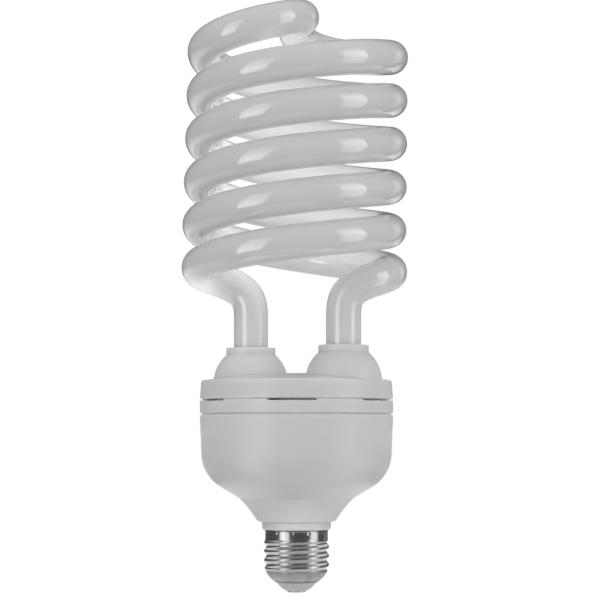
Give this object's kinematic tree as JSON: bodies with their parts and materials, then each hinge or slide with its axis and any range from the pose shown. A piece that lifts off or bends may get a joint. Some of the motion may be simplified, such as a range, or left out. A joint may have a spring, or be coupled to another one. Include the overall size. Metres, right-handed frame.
{
  "type": "spiral compact fluorescent lamp",
  "caption": "Self-ballasted lamp: a coiled opal glass discharge tube on a round vented ballast housing with a threaded screw cap.",
  "frame": {"origin": "on the lamp's axis, at the tip of the centre contact", "axes": "+Z along the lamp's axis from the contact towards the spiral, +X and +Y across it; the picture is taken from -Y"},
  "size_m": [0.092, 0.091, 0.2386],
  "materials": {
    "opal_glass": "glass with a white powder coat on its inner wall, opaque, smooth outside",
    "white_moulding": "white satin moulding",
    "cement": "matte cement",
    "nickel_shell": "nickel plated, bright, rolled thread",
    "grey_insulator": "matte grey insulator",
    "contact_metal": "plated contact with a dull wear face",
    "board_laminate": "paper laminate board",
    "tinned_metal": "tinned wire and pins",
    "capacitor_sleeve": "dark shrink sleeve",
    "ferrite": "sintered dark grey ferrite",
    "bobbin_moulding": "black moulding",
    "copper_wire": "enamelled copper wire",
    "black_epoxy": "moulded epoxy",
    "heat_sink_metal": "folded sheet",
    "steel_screw": "zinc plated",
    "film_capacitor": "dipped coating",
    "thermistor_coat": "dipped coating",
    "resistor_coat": "lacquered body",
    "live_insulation": "soft wire insulation",
    "neutral_insulation": "soft wire insulation"
  },
  "bodies": {
    "root": {"discharge_tube": "opal_glass", "tube_holder_cover": "white_moulding", "vent_ring": "white_moulding", "ballast_housing": "white_moulding", "tube_cement_front": "cement", "tube_cement_rear": "cement", "screw_shell": "nickel_shell", "cap_insulator": "grey_insulator", "centre_contact": "contact_metal", "circuit_board": "board_laminate", "wire_posts": "tinned_metal", "tube_leads": "tinned_metal", "bulk_capacitor": "capacitor_sleeve", "choke_core": "ferrite", "choke_bobbin": "bobbin_moulding", "choke_winding": "copper_wire", "choke_pins": "tinned_metal", "drive_toroid": "ferrite", "toroid_winding": "copper_wire", "power_transistors": "black_epoxy", "heat_sink": "heat_sink_metal", "heat_sink_screws": "steel_screw", "resonant_capacitor": "film_capacitor", "coupling_capacitor": "film_capacitor", "startup_capacitor": "film_capacitor", "thermistor": "thermistor_coat", "rectifier_diodes": "black_epoxy", "resistors": "resistor_coat", "filter_choke_core": "ferrite", "filter_choke_winding": "copper_wire", "fuse_resistor": "resistor_coat", "live_wire": "live_insulation", "neutral_wire": "neutral_insulation"}
  },
  "joints": []
}
